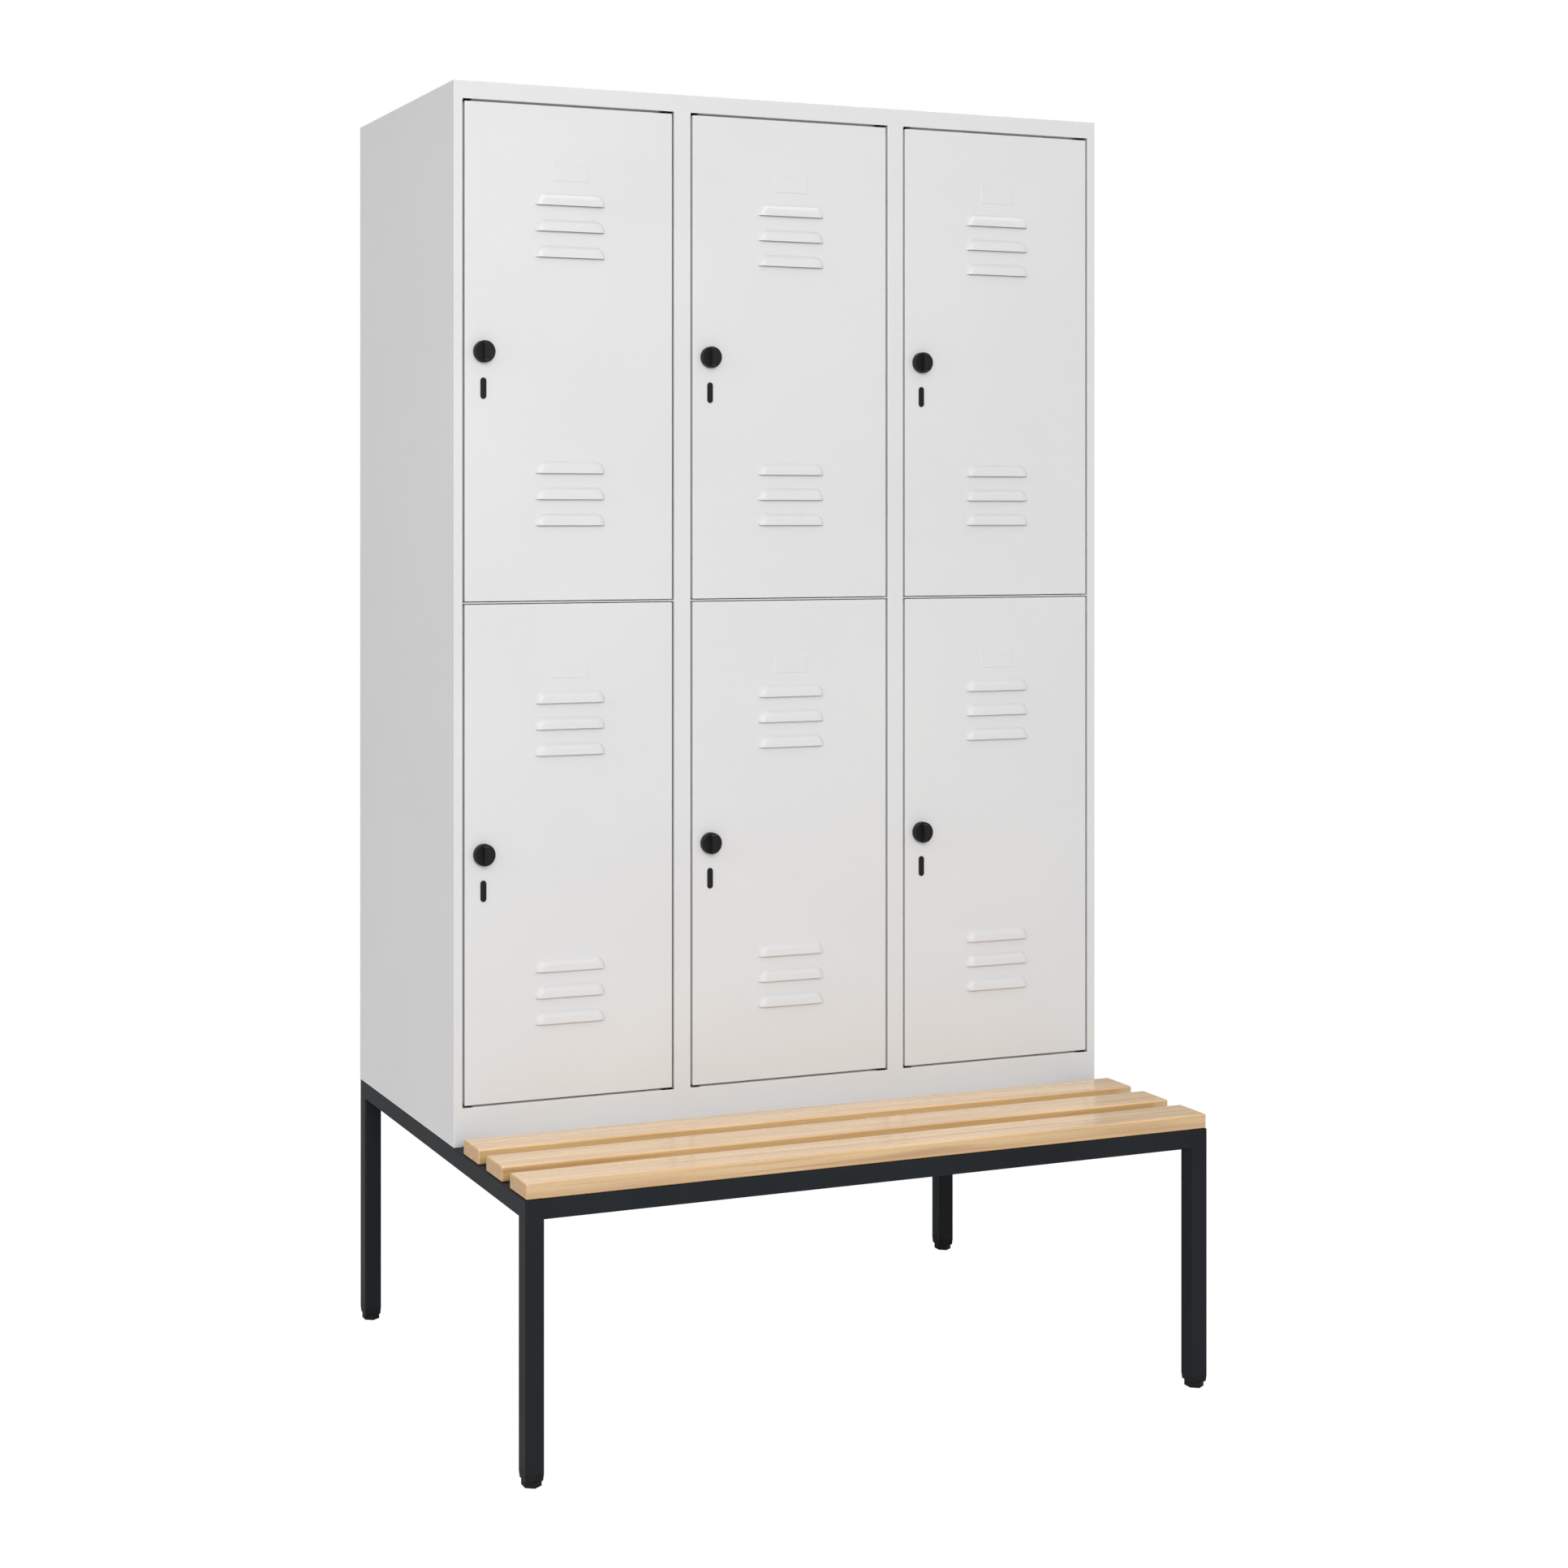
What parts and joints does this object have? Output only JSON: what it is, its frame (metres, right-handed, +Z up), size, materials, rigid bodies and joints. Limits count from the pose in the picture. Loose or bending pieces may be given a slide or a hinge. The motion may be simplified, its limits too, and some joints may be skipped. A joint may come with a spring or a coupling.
{
  "type": "double-tier locker with bench",
  "caption": "Steel coat locker in two tiers of louvred doors with turning knobs, on a dark tube frame with a slatted wooden bench in front",
  "frame": {"origin": "on the floor, under the middle of the whole locker and its bench, feet screwed right in", "axes": "+X to the right as seen from the front, +Y to the back, +Z up"},
  "size_m": [1.2, 0.8162, 2.1243],
  "materials": {
    "cabinet_paint": "light grey powder coat, satin",
    "frame_paint": "anthracite powder coat, matt",
    "black_plastic": "moulded black plastic, matt",
    "zinc_steel": "bright zinc-plated steel",
    "beech": "light beech, clear satin lacquer"
  },
  "bodies": {
    "locker_body": {"side_panel_left": "cabinet_paint", "side_panel_right": "cabinet_paint", "back_panel": "cabinet_paint", "top_panel": "cabinet_paint", "bottom_panel": "cabinet_paint", "partition_1": "cabinet_paint", "partition_2": "cabinet_paint", "tier_shelf_1": "cabinet_paint", "tier_shelf_2": "cabinet_paint", "tier_shelf_3": "cabinet_paint", "coat_rail_lower_1": "zinc_steel", "coat_rail_lower_2": "zinc_steel", "coat_rail_lower_3": "zinc_steel", "coat_rail_upper_1": "zinc_steel", "coat_rail_upper_2": "zinc_steel", "coat_rail_upper_3": "zinc_steel", "leg_front_left": "frame_paint", "leg_front_right": "frame_paint", "leg_back_left": "frame_paint", "leg_back_right": "frame_paint", "side_rail_left": "frame_paint", "side_rail_right": "frame_paint", "front_beam": "frame_paint", "middle_beam": "frame_paint", "back_beam": "frame_paint", "leg_cap_front_left": "black_plastic", "leg_cap_front_right": "black_plastic", "leg_cap_back_left": "black_plastic", "leg_cap_back_right": "black_plastic", "bench_slat_1": "beech", "bench_slat_2": "beech", "bench_slat_3": "beech"},
    "lower_door_1": {"door_lower_1": "cabinet_paint", "slot_plug_lower_1": "black_plastic"},
    "lower_door_2": {"door_lower_2": "cabinet_paint", "slot_plug_lower_2": "black_plastic"},
    "lower_door_3": {"door_lower_3": "cabinet_paint", "slot_plug_lower_3": "black_plastic"},
    "upper_door_1": {"door_upper_1": "cabinet_paint", "slot_plug_upper_1": "black_plastic"},
    "upper_door_2": {"door_upper_2": "cabinet_paint", "slot_plug_upper_2": "black_plastic"},
    "upper_door_3": {"door_upper_3": "cabinet_paint", "slot_plug_upper_3": "black_plastic"},
    "lower_lock_1": {"lock_knob_lower_1": "black_plastic", "lock_cam_lower_1": "zinc_steel"},
    "lower_lock_2": {"lock_knob_lower_2": "black_plastic", "lock_cam_lower_2": "zinc_steel"},
    "lower_lock_3": {"lock_knob_lower_3": "black_plastic", "lock_cam_lower_3": "zinc_steel"},
    "upper_lock_1": {"lock_knob_upper_1": "black_plastic", "lock_cam_upper_1": "zinc_steel"},
    "upper_lock_2": {"lock_knob_upper_2": "black_plastic", "lock_cam_upper_2": "zinc_steel"},
    "upper_lock_3": {"lock_knob_upper_3": "black_plastic", "lock_cam_upper_3": "zinc_steel"},
    "front_left_foot": {"foot_front_left": "black_plastic"},
    "front_right_foot": {"foot_front_right": "black_plastic"},
    "back_left_foot": {"foot_back_left": "black_plastic"},
    "back_right_foot": {"foot_back_right": "black_plastic"}
  },
  "joints": [
    {"name": "lower_door_1_hinge", "type": "hinge", "parent": "locker_body", "child": "lower_door_1", "pos_m": [-0.22657, -0.0855, 0.8884], "axis": [0, 0, 1], "range_deg": [0, 110]},
    {"name": "lower_door_2_hinge", "type": "hinge", "parent": "locker_body", "child": "lower_door_2", "pos_m": [0.17343, -0.0855, 0.8884], "axis": [0, 0, 1], "range_deg": [0, 110]},
    {"name": "lower_door_3_hinge", "type": "hinge", "parent": "locker_body", "child": "lower_door_3", "pos_m": [0.57343, -0.0855, 0.8884], "axis": [0, 0, 1], "range_deg": [0, 110]},
    {"name": "upper_door_1_hinge", "type": "hinge", "parent": "locker_body", "child": "upper_door_1", "pos_m": [-0.22657, -0.0855, 1.6922], "axis": [0, 0, 1], "range_deg": [0, 110]},
    {"name": "upper_door_2_hinge", "type": "hinge", "parent": "locker_body", "child": "upper_door_2", "pos_m": [0.17343, -0.0855, 1.6922], "axis": [0, 0, 1], "range_deg": [0, 110]},
    {"name": "upper_door_3_hinge", "type": "hinge", "parent": "locker_body", "child": "upper_door_3", "pos_m": [0.57343, -0.0855, 1.6922], "axis": [0, 0, 1], "range_deg": [0, 110]},
    {"name": "lower_lock_1_turn", "type": "hinge", "parent": "lower_door_1", "child": "lower_lock_1", "pos_m": [-0.55, -0.0925, 0.8884], "axis": [0, -1, 0], "range_deg": [0, 90]},
    {"name": "lower_lock_2_turn", "type": "hinge", "parent": "lower_door_2", "child": "lower_lock_2", "pos_m": [-0.15, -0.0925, 0.8884], "axis": [0, -1, 0], "range_deg": [0, 90]},
    {"name": "lower_lock_3_turn", "type": "hinge", "parent": "lower_door_3", "child": "lower_lock_3", "pos_m": [0.25, -0.0925, 0.8884], "axis": [0, -1, 0], "range_deg": [0, 90]},
    {"name": "upper_lock_1_turn", "type": "hinge", "parent": "upper_door_1", "child": "upper_lock_1", "pos_m": [-0.55, -0.0925, 1.6922], "axis": [0, -1, 0], "range_deg": [0, 90]},
    {"name": "upper_lock_2_turn", "type": "hinge", "parent": "upper_door_2", "child": "upper_lock_2", "pos_m": [-0.15, -0.0925, 1.6922], "axis": [0, -1, 0], "range_deg": [0, 90]},
    {"name": "upper_lock_3_turn", "type": "hinge", "parent": "upper_door_3", "child": "upper_lock_3", "pos_m": [0.25, -0.0925, 1.6922], "axis": [0, -1, 0], "range_deg": [0, 90]},
    {"name": "front_left_foot_screw", "type": "slide", "parent": "locker_body", "child": "front_left_foot", "axis": [0, 0, 1], "range_m": [-0.012, 0]},
    {"name": "front_right_foot_screw", "type": "slide", "parent": "locker_body", "child": "front_right_foot", "axis": [0, 0, 1], "range_m": [-0.012, 0]},
    {"name": "back_left_foot_screw", "type": "slide", "parent": "locker_body", "child": "back_left_foot", "axis": [0, 0, 1], "range_m": [-0.012, 0]},
    {"name": "back_right_foot_screw", "type": "slide", "parent": "locker_body", "child": "back_right_foot", "axis": [0, 0, 1], "range_m": [-0.012, 0]}
  ]
}
